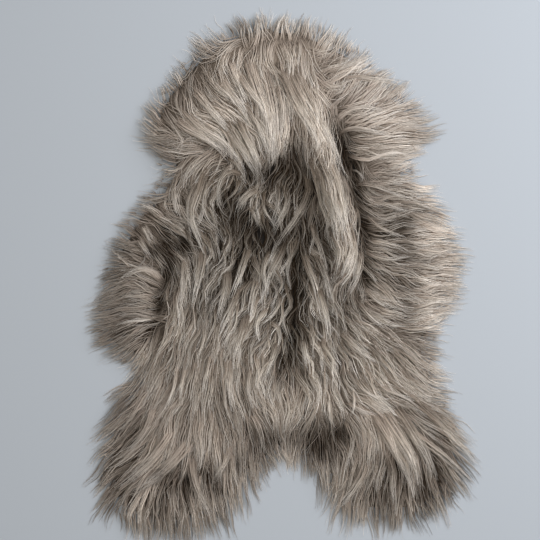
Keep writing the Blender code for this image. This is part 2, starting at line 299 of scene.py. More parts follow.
# where the wool differs, along the line from x, y to x, y: x, y, x, y, the breadth over which it fades
# out, all in mm, its tone (darker below 0, paler above; it holds the wool's own colour, painted shade in
# hollows and furrows and a painted highlight on the ridge) and what else changes. wave: how curly;
# clump: how tightly locks draw together; warmth: greyer below 0, more beige above; long: longer wool;
# reach: mm further past the rim
woolPatches = (
    # the middle of the back: curlier, greyer, in separate locks, darker partly in its own colour and partly
    # as painted shade between the locks
    (-40, 150, 20, -110, 85, -0.235, {"wave": 0.9, "warmth": -0.4, "clump": 0.5}),
    (-130, 120, -170, -40, 45, -0.17, {"wave": 0.3, "warmth": -0.2, "clump": 0.38}),
    # ridge that runs from the neck down the right of the back: raised by the relief, and paler as a painted
    # highlight
    (10, 395, 51, 315, 15, 0.16),
    (51, 315, 96, 175, 17, 0.34),
    (95, 165, 121, 20, 14, 0.5, {"clump": 0.1}),
    # the furrow at its right: sunk by the relief, and darker as painted shade
    (86, 290, 124, 160, 11, -0.4),
    (131, 152, 146, 0, 13, -0.5),
    (142, 96, 146, 70, 9, -0.25),
    (104, 262, 112, 215, 15, -0.42),
    (122, 205, 130, 180, 12, -0.3),
    (66, 110, 78, 10, 13, -0.35),
    # hollows where locks part over the back, and more darker places: painted shade, sunk by the relief as
    # well
    (4, 205, 34, 150, 22, -0.5, {"clump": 0.2}),
    (-62, 196, -30, 186, 15, -0.4, {"clump": 0.2}),
    (-26, 182, -20, 148, 9, -0.2),
    (-116, 148, -100, 116, 12, -0.4),
    (34, 100, 38, 78, 10, -0.4),
    (-14, 76, -8, 62, 8, -0.3),
    (-56, 82, -40, 60, 13, -0.35),
    (-100, 84, -20, 66, 20, -0.46, {"clump": 0.2}),
    (-92, 30, -70, 18, 15, -0.25),
    (18, 90, 36, 60, 15, -0.35, {"clump": 0.2}),
    (14, 30, 10, -120, 13, -0.42, {"clump": 0.2}),
    (-4, -150, -12, -190, 11, -0.24),
    (-232, 84, -228, 76, 9, -0.5),
    (-244, 50, -196, 56, 12, -0.5),
    (-217, 27, -236, -60, 10, -0.5),
    (-236, -60, -258, -115, 8, -0.4),
    (0, 290, 18, 235, 14, -0.18, {"warmth": 0.2}),
    (-94, 352, -92, 340, 7, -0.3),
    (-40, -306, 84, -308, 25, -0.46, {"warmth": 0.25}),
    (-72, 315, -60, 275, 9, -0.2),
    (-22, 385, -12, 345, 9, -0.15),
    (24, 335, 46, 300, 7, -0.22),
    (-142, 370, -124, 345, 12, -0.14),
    (-176, 410, -150, 425, 22, -0.2, {"warmth": 0.15}),
    (88, 330, 94, 318, 12, -0.14),
    (-238, -372, -218, -398, 12, -0.3),
    (-190, -385, -190, -430, 9, -0.35),
    (-146, -370, -134, -405, 12, -0.4),
    (-92, -345, -88, -365, 8, -0.3),
    (110, -287, 112, -300, 12, -0.25),
    (62, -330, 76, -345, 13, -0.3),
    (176, -345, 205, -362, 13, -0.25),
    (262, -400, 280, -430, 10, -0.15),
    (66, 92, 80, 44, 9, -0.2),
    # paler places
    (-110, 330, -10, 290, 64, 0.33, {"warmth": 0.1, "long": -0.15, "clump": -0.15}),
    (-110, 418, 60, 430, 18, 0.25, {"clump": -0.2}),
    (52, 352, 60, 344, 11, 0.16),
    (-30, 300, -22, 256, 10, 0.16),
    (-82, 300, -60, 222, 9, 0.14),
    (-74, 425, -62, 385, 9, 0.12),
    (-250, 260, -200, 240, 40, 0.1, {"warmth": 0.2}),
    (190, 290, 250, 220, 42, 0.25, {"wave": -0.3, "warmth": 0.15, "clump": -0.15}),
    (265, 150, 268, -90, 15, 0.2),
    (229, 150, 229, -90, 11, -0.1),
    (250, 160, 285, 152, 13, 0.14),
    (250, 92, 290, 80, 13, 0.1),
    (300, -225, 335, -290, 30, 0.13),
    (305, 140, 315, -110, 27, 0.2, {"warmth": 0.2, "wave": -0.4, "clump": -0.25}),
    (258, 130, 268, 118, 9, -0.3),
    (258, 24, 272, 18, 9, -0.25),
    (150, -255, 195, -320, 24, 0.14, {"warmth": 0.2, "clump": -0.1}),
    (213, -308, 240, -350, 12, 0.16, {"warmth": 0.2}),
    (-190, -40, -180, -160, 34, 0.1),
    (-120, -110, -110, -200, 20, 0.1),
    (30, -150, 70, -240, 16, 0.16),
    (110, -120, 130, -260, 26, 0.1),
    (-230, -270, -200, -310, 24, 0.08, {"warmth": 0.2}),
    (-270, -215, -200, -280, 42, 0.12, {"warmth": 0.25}),
    (-60, -70, -50, -140, 28, 0.22),
    (42, -75, 54, -130, 20, 0.3),
    (-200, -20, -150, -100, 35, 0.1),
    (180, -140, 250, -220, 40, 0.1),
    # longer, straighter wool over the hind half and the hind legs
    (-150, -180, 150, -220, 90, 0.07, {"long": 0.25, "wave": -0.2}),
    (-260, -380, -120, -420, 60, -0.06, {"warmth": 0.2, "clump": 0.4, "reach": 68, "wave": -0.35}),
    (150, -400, 300, -380, 60, -0.13, {"warmth": 0.2, "clump": 0.3, "reach": 68, "wave": -0.35}),
    (320, -230, 360, -340, 32, 0, {"reach": 14, "long": 0.2, "wave": -0.2}),
    (-340, -420, -300, -480, 34, 0, {"reach": 30, "long": 0.3}),
    (-165, 465, -140, 450, 20, 0, {"reach": 26}),
    (-340, -172, -285, -172, 13, -0.15, {"reach": -30}),
    (-315, -195, -345, -255, 20, 0, {"reach": 16}),
    (-355, -128, -362, -140, 14, 0, {"reach": 14}),
    # the wool lies less far past the rim here
    (-240, 370, -280, 280, 28, 0, {"reach": -16}),
    (-250, 175, -345, 0, 30, 0, {"reach": -15}),
    (-95, 478, -32, 490, 20, 0, {"reach": -13}),
    (32, 490, 100, 478, 20, 0, {"reach": -12}),
    (130, 430, 240, 340, 26, 0, {"reach": -14}),
    (300, 110, 340, -30, 26, 0, {"reach": -6}),
    (-40, -410, -130, -460, 24, 0, {"reach": -24}),
    (-344, -280, -350, -380, 22, 0, {"reach": -8}),
    (350, -390, 335, -450, 24, 0, {"reach": -12}),
    # softer and even
    (315, 110, 310, -110, 48, 0.04, {"clump": -0.35, "warmth": 0.3}),
    (140, 330, 240, 210, 60, 0.02, {"clump": -0.25, "warmth": 0.3}),
    (-290, 60, -300, -60, 40, 0, {"clump": -0.2, "warmth": 0.25}),
    (-250, 285, -180, 250, 36, 0.03, {"clump": -0.3, "warmth": 0.3}),
    (-100, 400, 60, 400, 90, 0.07, {"warmth": 0.1}),
    (-60, -250, 100, -250, 60, 0.05, {"warmth": 0.15, "clump": -0.1}),
    (150, 120, 190, -120, 40, 0.04, {"warmth": 0.1}),
    # darker places: painted shade
    (188, 130, 215, -60, 26, -0.13, {"wave": 0.3}),
    (-320, 60, -330, -100, 45, -0.21, {"wave": -0.3, "clump": -0.25, "warmth": 0.2}),
    (-280, -270, -300, -400, 38, -0.22, {"warmth": 0.2}),
    (-300, -330, -180, -400, 60, -0.03, {"warmth": 0.22}),
    (-60, -310, 90, -310, 30, -0.03, {"warmth": 0.15}),
    (-240, 270, -200, 370, 26, -0.08, {"warmth": 0.15}),
)
usualWool = {"tone": 0.5, "wave": 0.7, "clump": 0.45, "warmth": 0.55, "long": 1, "reach": 0}


def woolAt(points, quality, usual=None):
    # what the wool is like at points (..., 2)
    flat = points.reshape(-1, 2)
    value = np.full(len(flat), float(usualWool[quality] if usual is None else usual))
    for x0, y0, x1, y1, breadth, tone, *others in woolPatches:
        change = {"tone": tone, **dict(*others)}.get(quality)
        if change:
            start, end = np.array((x0, y0)) * mm, np.array((x1, y1)) * mm
            run = end - start
            share = np.clip(((flat - start) @ run) / (run @ run), 0, 1)
            apart = np.linalg.norm(flat - start - share[:, None] * run, axis=1)
            value += change * np.exp(-0.5 * (apart / (breadth * mm)) ** 2)
    return value.reshape(points.shape[:-1])


# small swirls in the coat, stronger where it is curly
swirls = blurred(np.random.default_rng(combing["swirlSeed"]).standard_normal(rawDepth.shape),
                 combing["swirlBreadth"])
swirls *= math.radians(combing["swirl"]) / swirls.std()
calm, growth, least, most = combing["swirlGrowth"]
swirls *= np.clip(calm + growth * woolAt(gridPoints, "wave"), least, most)

# the wool's surface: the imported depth, with pale ridges a little higher and dark furrows deeper
relief = {
    "rise": 22 * mm,           # for a tone of 1
    "fullFrom": 35 * mm,       # less where the wool is thinner than this
    "highest": 63 * mm,
}
toneRelief = woolAt(gridPoints, "tone", 0) * relief["rise"]
surface = smoothDepth + toneRelief * np.clip(smoothDepth / relief["fullFrom"], 0, 1)
surface = np.minimum(surface, relief["highest"])

# lock guides: the middle line of every lock, from under the wool's surface out to its tip
locks = {
    "spacing": 15.9 * mm,      # between the places where neighbouring locks come up
    "jitter": 0.38,
    "length": 104 * mm,        # over the back
    "rimLength": 88 * mm,
    "lengths": (0.75, 1.25),   # shares of the usual length
    "shortest": 0.35,          # and of its own length that a lock keeps at the rim
    "points": {"straight": 8, "curly": 11},
    "rootDepth": 16 * mm,      # how deep under the surface a lock starts
    "rootShare": 0.8,          # and at most this share of the wool's depth
    "rootRun": 0.8,            # how straight its root lies back
    "surfacing": 0.3,          # the share of its length that lies under the surface
    "lowest": 1.5 * mm,
    "lift": 4.5 * mm,          # how far locks lie above and below one another
    "liftFrom": (30 * mm, 0.15),     # less where the wool is thinner than the first, down to the second
    "waveLength": 70 * mm,
    "waveLengths": (0.75, 1.3),
    "wave": 17,                # degrees that a lock swings to and fro where wave is 1
    "waves": (0.15, 3),        # least and most wave
    "stray": 7,                # degrees that a lock lies off the combed direction
    "stiffness": 0.6,          # how slowly a lock turns into the combed direction
    "ownTone": 0.08,           # how much paler or darker single locks are
    "patchTone": 0.12,         # and small groups of locks
    "patchBreadth": 15 * mm,
    "patchSeed": 31,
    "paintedLiftLight": 0.08,          # painted light: locks on top are paler, as if better lit
    "toneGrowth": (0.35, 1.2, 0.4, 1.3),       # all three: without clump, for each 1 of clump, least, most
    "toneRange": (0.02, 0.98),
    "ownWarmth": 0.08,
    "ownClump": 0.14,
    "breadths": (0.8, 1.2),
    "inland": 0.45,            # how far above the rim's innerness a lock counts as being on the back
    "rimClump": -0.4,          # at the rim locks are looser and warmer
    "rimWarmth": 0.25,
    "leastReach": 4 * mm,      # how far past the slab's rim tips go
    "usualReach": 21 * mm,
    "reachPower": 1.9,         # more makes long reaches rarer
    "seed": 7,
}
patchiness = blurred(np.random.default_rng(locks["patchSeed"]).standard_normal(rawDepth.shape),
                     locks["patchBreadth"])
patchiness /= patchiness.std()


def lockPlaces(spacing, jitter, rng):
    # a jittered triangular grid over the slab
    low, high = fleeceCorners()
    places, rowHeight = [], spacing * math.sqrt(3) / 2
    for row in range(int((high[1] - low[1]) / rowHeight) + 1):
        xs = np.arange(low[0] + (row % 2) * spacing / 2, high[0], spacing)
        places.append(np.stack([xs, np.full(len(xs), low[1] + row * rowHeight)], axis=1))
    places = np.vstack(places)
    places += rng.uniform(-jitter, jitter, places.shape) * spacing
    return places[sample(innerness, places) > slabRim]


def liftShare(depth):
    full, least = locks["liftFrom"]
    return np.clip(depth / full, least, 1)


def surfacing(steps, share):
    # 0 at the root, 1 from where a lock has come up
    return np.minimum(1, np.linspace(0, 1, steps) / share)[None]


def lockPath(places, heading, length, swing, phase, turns, steps):
    # follows the combing from each place; the part before it lies straight back under the surface
    before = locks["surfacing"]
    path = np.zeros((len(places), steps, 2))
    place, ahead = places - heading * (locks["rootRun"] * before * length)[:, None], heading
    for k in range(steps):
        share = k / (steps - 1)
        path[:, k] = place
        if share >= before:
            ahead = unit(locks["stiffness"] * ahead + (1 - locks["stiffness"]) * combAt(place))
        swayed = turned(ahead, swing * np.sin(phase + turns * length * share))
        place = place + swayed * (length / (steps - 1))[:, None]
    return path


def lockGuides(places, steps, rng, lift=locks["lift"], stray=locks["stray"], extraReach=0.0):
    # returns points (locks, steps, 3) and their qualities, one for a lock or one for each point
    count = len(places)
    inner = np.clip((sample(innerness, places) - slabRim) / locks["inland"], 0, 1)
    length = locks["rimLength"] + (locks["length"] - locks["rimLength"]) * inner
    length = length * rng.uniform(*locks["lengths"], count) * woolAt(places, "long")
    swing = np.radians(locks["wave"]) * np.clip(woolAt(places, "wave"), *locks["waves"])
    phase = rng.uniform(0, 2 * math.pi, count)
    turns = rng.uniform(*locks["waveLengths"], count) * 2 * math.pi / locks["waveLength"]
    heading = turned(combAt(places), np.radians(stray) * rng.standard_normal(count))
    reach = locks["usualReach"] + woolAt(places, "reach") * mm
    reach = reach * rng.uniform(0, 1, count) ** locks["reachPower"]
    reach = np.maximum(reach + extraReach, 0) + locks["leastReach"]
    path = lockPath(places, heading, length, swing, phase, turns, steps)
    for _ in range(2):     # locks that would lie too far past the rim are cut shorter
        past = sample(outside, path) > reach[:, None]
        kept = np.where(past.any(axis=1), past.argmax(axis=1), steps - 1) / (steps - 1)
        length = length * np.clip(kept, locks["shortest"], 1)
        path = lockPath(places, heading, length, swing, phase, turns, steps)
    rising = surfacing(steps, locks["surfacing"])
    depth = sample(surface, path)
    under = np.minimum(locks["rootDepth"] * (1 - np.sin(rising * math.pi / 2)), locks["rootShare"] * depth)
    raised = rng.uniform(-1, 1, count)
    lifted = (lift * raised)[:, None] * liftShare(depth)
    top = np.maximum(depth - under + lifted * rising, locks["lowest"])
    clump = woolAt(places, "clump") + locks["rimClump"] * (1 - inner)
    own = locks["patchTone"] * sample(patchiness, path[:, steps * 2 // 3])
    own += locks["ownTone"] * rng.standard_normal(count) + locks["paintedLiftLight"] * raised
    loose, growth, least, most = locks["toneGrowth"]
    own *= np.clip(loose + growth * clump, least, most)
    warmth = woolAt(places, "warmth") + locks["rimWarmth"] * (1 - inner)
    qualities = {
        "tone": np.clip(woolAt(path, "tone") + own[:, None], *locks["toneRange"]),
        "warmth": np.clip(warmth + locks["ownWarmth"] * rng.standard_normal(count), 0, 1),
        "clump": np.clip(clump + locks["ownClump"] * rng.standard_normal(count), 0, 1),
        "breadth": rng.uniform(*locks["breadths"], count),
    }
    return np.concatenate([path, top[:, :, None]], axis=2), qualities


def guideObject(name, spots, qualities):
    # an edge mesh with one chain of points for each lock
    count, steps = spots.shape[:2]
    first = (np.arange(count)[:, None] * steps + np.arange(steps - 1)[None]).ravel()
    mesh = bpy.data.meshes.new(name)
    mesh.from_pydata(spots.reshape(-1, 3).tolist(), np.stack([first, first + 1], axis=1).tolist(), [])
    for quality, values in qualities.items():
        each = np.broadcast_to(values.reshape(count, -1), (count, steps)).ravel()
        mesh.attributes.new(quality, "FLOAT", "POINT").data.foreach_set("value", each.astype(np.float32))
    return addToScene(name, mesh)


# the node tree that draws every lock out into tapering strands
strandShape = {
    "seedStep": 17.0,          # between the seeds of a strand's own values
    "stagger": 0.14,           # the share of its lock by which a strand may start later
    "drawing": 0.8,            # below 1, strands draw together nearer to the root
    "jumble": (0.5, 0.4),      # how far strands lie over one another, and how high the middle ones lie
    "apart": 0.3,              # how differently a lock's strands wander, in metres of the noise
    "rootFrizz": 0.25,
    "looseFrizz": 0.6,         # frizz where clump is 0, as clump adds its own
    "taper": 1.6,              # more keeps a strand thick for longer
    "ownRadius": (0.32, 0.68),     # shares of its width
    "rootTaper": (5.0, 0.25),  # how fast a strand thickens from its root, and its thickness there
}
bakeMap = {
    "bands": 4,                # of warmth, side by side
    "inBand": (0.94, 0.02),    # breadth of a band's tones, and where they start
    "round": 0.02,             # breadth of one strand
    "up": (0.98, 0.01),
}


def strandTree(inputs):
    tree = newTree("woolStrands", inputs)
    add, shape = partial(addNode, tree), strandShape
    maths, vectors, mix = "ShaderNodeMath", "ShaderNodeVectorMath", "ShaderNodeMix"
    given = add("NodeGroupInput").outputs
    stored = {name: add("GeometryNodeInputNamedAttribute", {"Name": name}, data_type="FLOAT")
              for name in ("breadth", "clump", "tone", "warmth", "along")}
    curves = add("GeometryNodeMeshToCurve", (given["Geometry"],))
    amount = add(maths, (given["Strands"], stored["breadth"]), operation="MULTIPLY")
    copies = add("GeometryNodeDuplicateElements", {"Geometry": curves, "Amount": amount}, domain="SPLINE")
    index = add("GeometryNodeInputIndex")
    number = add("GeometryNodeFieldOnDomain", (index,), domain="CURVE", data_type="INT")

    # random values of each strand's own
    own = {}
    for i, (name, kind, low, high) in enumerate((
            ("end", "FLOAT", given["Shortest"], 1.0),
            ("aside", "FLOAT_VECTOR", (-1, -1, -1), (1, 1, 1)),
            ("radius", "FLOAT", *shape["ownRadius"]),
            ("tone", "FLOAT", -1.0, 1.0),
            ("start", "FLOAT", 0.0, shape["stagger"]))):
        seed = add(maths, (given["Seed"], shape["seedStep"] * i), operation="ADD")
        value = add("FunctionNodeRandomValue", {"Min": low, "Max": high, "ID": number, "Seed": seed},
                    data_type=kind)
        own[name] = value.outputs[0 if kind == "FLOAT_VECTOR" else 1]
    cut = add("GeometryNodeTrimCurve", {"Curve": copies, "Start": own["start"], "End": own["end"]},
              mode="FACTOR")
    along = add("GeometryNodeSplineParameter").outputs["Factor"]
    across = add(vectors, (add("GeometryNodeInputTangent"), (0, 0, 1)), operation="CROSS_PRODUCT")
    side = add(vectors, (across,), operation="NORMALIZE")
    parts = add("ShaderNodeSeparateXYZ", (own["aside"],)).outputs

    # the strands of a lock draw together towards its tip, more so where clump is high
    tipSpread = add(mix, {"Factor": stored["clump"], "A": given["Root Spread"], "B": given["Tip Spread"]},
                    data_type="FLOAT")
    drawn = add(maths, (along, shape["drawing"]), operation="POWER")
    usualSpread = add(mix, {"Factor": drawn, "A": given["Root Spread"], "B": tipSpread}, data_type="FLOAT")
    spread = add(maths, (usualSpread, stored["breadth"]), operation="MULTIPLY")
    sideways = add(maths, (parts["X"], spread), operation="MULTIPLY")
    flatSpread = add(maths, (spread, given["Flatness"]), operation="MULTIPLY")
    # a lock is round on top: strands at its sides lie lower, and their tone takes painted shade
    aslant = add(maths, (parts["X"], parts["X"]), operation="MULTIPLY")
    jumbled = add(maths, (parts["Y"], *shape["jumble"]), operation="MULTIPLY_ADD")
    crown = add(maths, (aslant, -1.0, jumbled), operation="MULTIPLY_ADD")
    upwards = add(maths, (crown, flatSpread), operation="MULTIPLY")
    sideOffset = add(vectors, {0: side, "Scale": sideways}, operation="SCALE")
    offset = add(vectors, (sideOffset, add("ShaderNodeCombineXYZ", {"Z": upwards})), operation="ADD")

    # frizz: each strand wanders on its own, more towards its tip and in tight locks
    position = add("GeometryNodeInputPosition")
    ownPlace = add(vectors, (own["aside"], [shape["apart"]] * 3, position), operation="MULTIPLY_ADD")
    wander = add("ShaderNodeTexNoise", {"Vector": ownPlace, "Scale": given["Frizz Scale"], "Detail": 1.0},
                 noise_dimensions="3D").outputs["Color"]
    centred = add(vectors, (wander, (0.5, 0.5, 0.5)), operation="SUBTRACT")
    more = add(maths, (along, shape["rootFrizz"]), operation="ADD")
    usualFrizz = add(maths, (more, given["Frizz"]), operation="MULTIPLY")
    tightness = add(maths, (stored["clump"], shape["looseFrizz"]), operation="ADD")
    frizz = add(maths, (usualFrizz, tightness), operation="MULTIPLY")
    frizzOffset = add(vectors, {0: centred, "Scale": frizz}, operation="SCALE")
    moved = add(vectors, (offset, frizzOffset), operation="ADD")
    placed = add("GeometryNodeSetPosition", {"Geometry": cut, "Offset": moved})

    # no strand goes through the floor, or higher than the coat
    now = add("ShaderNodeSeparateXYZ", (position,)).outputs
    above = add(maths, (now["Z"], given["Lowest"]), operation="MAXIMUM")
    level = add(maths, (above, given["Highest"]), operation="MINIMUM")
    kept = add("ShaderNodeCombineXYZ", {"X": now["X"], "Y": now["Y"], "Z": level})
    onFloor = add("GeometryNodeSetPosition", {"Geometry": placed, "Position": kept})

    # thickness: tapers to the tip, and within a short way to the root
    taper = add(maths, (along, shape["taper"]), operation="POWER")
    width = add(mix, {"Factor": taper, "A": given["Root Width"], "B": given["Tip Width"]}, data_type="FLOAT")
    fullRadius = add(maths, (width, own["radius"]), operation="MULTIPLY")
    fromRoot = add(maths, (along, *shape["rootTaper"]), operation="MULTIPLY_ADD", use_clamp=True)
    radius = add(maths, (fullRadius, fromRoot), operation="MULTIPLY")

    # what the material reads: along from root to tip, tone, with the painted shade at a lock's sides, and
    # warmth
    depthOfShade = add(maths, (stored["clump"], given["Side Shade"]), operation="MULTIPLY")
    shaded = add(maths, (crown, depthOfShade, stored["tone"]), operation="MULTIPLY_ADD")
    tone = add(maths, (own["tone"], given["Tone Range"], shaded), operation="MULTIPLY_ADD", use_clamp=True)
    toned = add("GeometryNodeStoreNamedAttribute", {"Geometry": onFloor, "Name": "tone", "Value": tone},
                data_type="FLOAT", domain="POINT")
    marked = add("GeometryNodeStoreNamedAttribute", {"Geometry": toned, "Name": "along", "Value": along},
                 data_type="FLOAT", domain="POINT")

    # a three-sided strand round every curve
    ring = add("GeometryNodeCurvePrimitiveCircle", {"Resolution": 3, "Radius": 1.0})
    around = add("GeometryNodeCaptureAttribute", {"Geometry": ring}, domain="POINT")
    around.capture_items.new("FLOAT", "Around")
    tree.links.new(add("GeometryNodeSplineParameter").outputs["Factor"], around.inputs["Around"])
    strands = add("GeometryNodeCurveToMesh", {"Curve": marked, "Profile Curve": around, "Scale": radius,
                                              "Fill Caps": True})

    # the map for baking: across by warmth and tone, up by along, so like strands share their place
    bands = bakeMap["bands"]
    band = add(maths, (stored["warmth"], bands - 0.01), operation="MULTIPLY")
    bandNumber = add(maths, (band,), operation="FLOOR")
    toneInBand = add(maths, (stored["tone"], *bakeMap["inBand"]), operation="MULTIPLY_ADD")
    bandPlace = add(maths, (bandNumber, toneInBand), operation="ADD")
    turn = around.outputs["Around"]
    ringPlace = add(maths, (turn, bakeMap["round"], bandPlace), operation="MULTIPLY_ADD")
    mapAcross = add(maths, (ringPlace, 1 / bands), operation="MULTIPLY")
    mapUp = add(maths, (stored["along"], *bakeMap["up"]), operation="MULTIPLY_ADD")
    place = add("ShaderNodeCombineXYZ", {"X": mapAcross, "Y": mapUp})
    mapped = add("GeometryNodeStoreNamedAttribute", {"Geometry": strands, "Name": "OFBake", "Value": place},
                 data_type="FLOAT2", domain="CORNER")
    whole = add("GeometryNodeRealizeInstances", (mapped,))
    painted = add("GeometryNodeSetMaterial", {"Geometry": whole, "Material": given["Material"]})
    add("NodeGroupOutput", (painted,))
    return tree


def woolFibre():
    # long-staple sheep's wool, washed and combed: dull brown at the root, darker there partly as painted
    # shade deep in the coat, paler and silkier towards the tip
    material, add, setShader = newMaterial("longStapleWool")
    read = {name: add("ShaderNodeAttribute", attribute_name=name, attribute_type="GEOMETRY").outputs["Fac"]
            for name in ("along", "tone", "warmth")}
    # from root to tip; the dark root is partly painted shade
    grey = add("ShaderNodeValToRGB", (read["along"],))
    fillRamp(grey, {0.0: "#2B231B", 0.3: "#62574B", 0.6: "#A59D92", 1.0: "#D8D3CC"})
    beige = add("ShaderNodeValToRGB", (read["along"],))
    fillRamp(beige, {0.0: "#84776C", 0.3: "#9F9388", 0.6: "#B2A89D", 1.0: "#CDC6BE"})
    mixed = add("ShaderNodeMix", {0: read["warmth"], 6: grey, 7: beige}, data_type="RGBA")
    # the tone darkens the colour, browner where darker; it holds painted shade as well as the wool's own
    # colour
    dimming = add("ShaderNodeValToRGB", (read["tone"],))
    fillRamp(dimming, {0.0: "#33281C", 1.0: "#FFFFFF"})
    dimmed = add("ShaderNodeVectorMath", (mixed.outputs[2], dimming), operation="MULTIPLY")
    # the usual tone is about a half, so the ramps' colours are brought up again
    shaded = add("ShaderNodeVectorMath", {0: dimmed, "Scale": 1.8}, operation="SCALE")
    # light passes on from hair to hair, so single hairs shade softly, like the coat they lie in
    facing = add("ShaderNodeNewGeometry").outputs["Normal"]
    softer = add("ShaderNodeVectorMath", (facing, (0.5, 0.5, 0.5), (0, 0, 0.5)), operation="MULTIPLY_ADD")
    soft = add("ShaderNodeVectorMath", (softer,), operation="NORMALIZE")
    setShader({"Base Color": shaded, "Normal": soft, "Roughness": 0.65, "Specular IOR Level": 0.18,
               "Specular Tint": linearColor("#DACDBB")})
    return material


def woolUndercoat():
    # the short dense undercoat between the locks' roots: dark, partly as painted shade deep in the coat,
    # matt and felted in tufts of a few mm
    material, add, setShader = newMaterial("shadedFeltUndercoat")
    place = add("ShaderNodeTexCoord").outputs["Object"]
    fibres = add("ShaderNodeTexNoise", {"Vector": place, "Scale": 400.0, "Detail": 4.0}).outputs["Fac"]
    tone = add("ShaderNodeAttribute", attribute_name="tone", attribute_type="GEOMETRY").outputs["Fac"]
    lighter = add("ShaderNodeMath", (fibres, 0.5, tone), operation="MULTIPLY_ADD")
    color = add("ShaderNodeValToRGB", (lighter,))
    fillRamp(color, {0.3: "#1A1511", 0.6: "#4A4138", 1.0: "#8A7D70"})
    bump = add("ShaderNodeBump", {"Height": fibres, "Strength": 0.8, "Distance": 3 * mm})
    setShader({"Base Color": color, "Normal": bump, "Roughness": 0.95})
    return material


def suede():
    # vegetable-tanned sheepskin, flesh side: pale, blotchy by the hand's breadth, with a nap of 1 mm
    material, add, setShader = newMaterial("tannedSuede")
    place = add("ShaderNodeTexCoord").outputs["Object"]
    blotches = add("ShaderNodeTexNoise", {"Vector": place, "Scale": 9.0, "Detail": 4.0}).outputs["Fac"]
    color = add("ShaderNodeValToRGB", (blotches,))
    fillRamp(color, {0.3: "#B79F82", 0.5: "#CDB89C", 0.72: "#DACAB2"})
    nap = add("ShaderNodeTexNoise", {"Vector": place, "Scale": 900.0, "Detail": 3.0}).outputs
    flecked = add("ShaderNodeMix", {0: 0.2, 6: color, 7: nap["Color"]}, data_type="RGBA",
                  blend_type="OVERLAY")
    bump = add("ShaderNodeBump", {"Height": nap["Fac"], "Strength": 0.35, "Distance": 1 * mm})
    setShader({"Base Color": flecked.outputs[2], "Normal": bump, "Roughness": 0.9, "Sheen Weight": 0.3})
    return material


# undercoat: a dense dark mat below the locks that closes the gaps between them, painted shade where the
# locks part
undercoat = {
    "step": 8 * mm,
    "below": 8 * mm,           # the locks' surface
    "rim": 0.7,                # innerness at its edge
    "least": 4 * mm,
    "floor": 2.6 * mm,         # just above the skin
    "edgeSmoothing": 3,
}


def makeUndercoat(material):
    low, high = fleeceCorners()
    xs = np.arange(low[0], high[0], undercoat["step"])
    ys = np.arange(low[1], high[1], undercoat["step"])
    spots = np.stack(np.meshgrid(xs, ys, indexing="ij"), axis=2)
    inside = sample(innerness, spots) > undercoat["rim"]
    tops = np.maximum(sample(surface, spots) - undercoat["below"], undercoat["floor"] + undercoat["least"])
    bm = bmesh.new()
    made = {}

    def corner(i, j):
        if (i, j) not in made:
            made[i, j] = bm.verts.new((xs[i], ys[j], tops[i, j]))
        return made[i, j]

    for i in range(len(xs) - 1):
        for j in range(len(ys) - 1):
            if inside[i:i + 2, j:j + 2].all():
                bm.faces.new([corner(i, j), corner(i + 1, j), corner(i + 1, j + 1), corner(i, j + 1)])
    rim = [edge for edge in bm.edges if edge.is_boundary]
    wall = bmesh.ops.extrude_edge_only(bm, edges=rim)["geom"]
    for vert in (item for item in wall if isinstance(item, bmesh.types.BMVert)):
        vert.co.z = undercoat["floor"]
    foot = [item for item in wall if isinstance(item, bmesh.types.BMEdge) and item.is_boundary]
    bmesh.ops.triangle_fill(bm, use_beauty=True, edges=foot)
    edgeVerts = list(dict.fromkeys(vert for edge in rim + foot for vert in edge.verts))
    for _ in range(undercoat["edgeSmoothing"]):
        bmesh.ops.smooth_vert(bm, verts=edgeVerts, factor=0.5, use_axis_x=True, use_axis_y=True,
                              use_axis_z=False)
    bmesh.ops.recalc_face_normals(bm, faces=bm.faces)
    mesh = bpy.data.meshes.new("undercoat")
    bm.to_mesh(mesh)
    bm.free()
    tone = np.clip(woolAt(np.array([vert.co[:2] for vert in mesh.vertices]), "tone"), 0, 1)
    mesh.attributes.new("tone", "FLOAT", "POINT").data.foreach_set("value", tone.astype(np.float32))
    mesh.shade_smooth()
    mesh.materials.append(material)
    return addToScene("undercoat", mesh)


# the coat, in bands
woolBands = {     # name -> lowest place, in mm from the middle towards the neck
    "neckWool": 265,
    "shoulderWool": 120,
    "backWool": -10,
    "loinWool": -140,
    "rumpWool": -290,
    "hindWool": -700,
}
curly = 1.15      # locks with more wave than this get more points
fibre, felted, tanned = woolFibre(), woolUndercoat(), suede()
strandValues = {
    "Strands": 8,
    "Root Spread": 10 * mm,
    "Tip Spread": 1.8 * mm,
    "Flatness": 0.6,
    "Shortest": 0.66,
    "Frizz": 4.5 * mm,
    "Frizz Scale": 22.0,
    "Root Width": 1.8 * mm,
    "Tip Width": 0.3 * mm,
    "Tone Range": 0.08,
    "Side Shade": 0.34,
    "Lowest": 1.2 * mm,
    "Highest": 72 * mm,
    "Seed": 3,
    "Material": fibre,
}
strandsTree = strandTree(strandValues)
rng = np.random.default_rng(locks["seed"])
allPlaces = lockPlaces(locks["spacing"], locks["jitter"], rng)
curliness = woolAt(allPlaces, "wave")
woolPieces = []
above = math.inf
for bandName, lowest in woolBands.items():
    inBand = (allPlaces[:, 1] < above) & (allPlaces[:, 1] >= lowest * mm)
    made = []
    for kind, chosen in (("straight", curliness <= curly), ("curly", curliness > curly)):
        if (inBand & chosen).any():
            spots, qualities = lockGuides(allPlaces[inBand & chosen], locks["points"][kind], rng)
            guide = guideObject(bandName + kind, spots, qualities)
            made.append(runTree(guide, strandsTree, strandValues, bandName))
    piece = joined(made, bandName)
    woolPieces.append(piece)
    above = lowest * mm
    print(bandName, "locks", int(inBand.sum()), "triangles", triangleCount(piece))
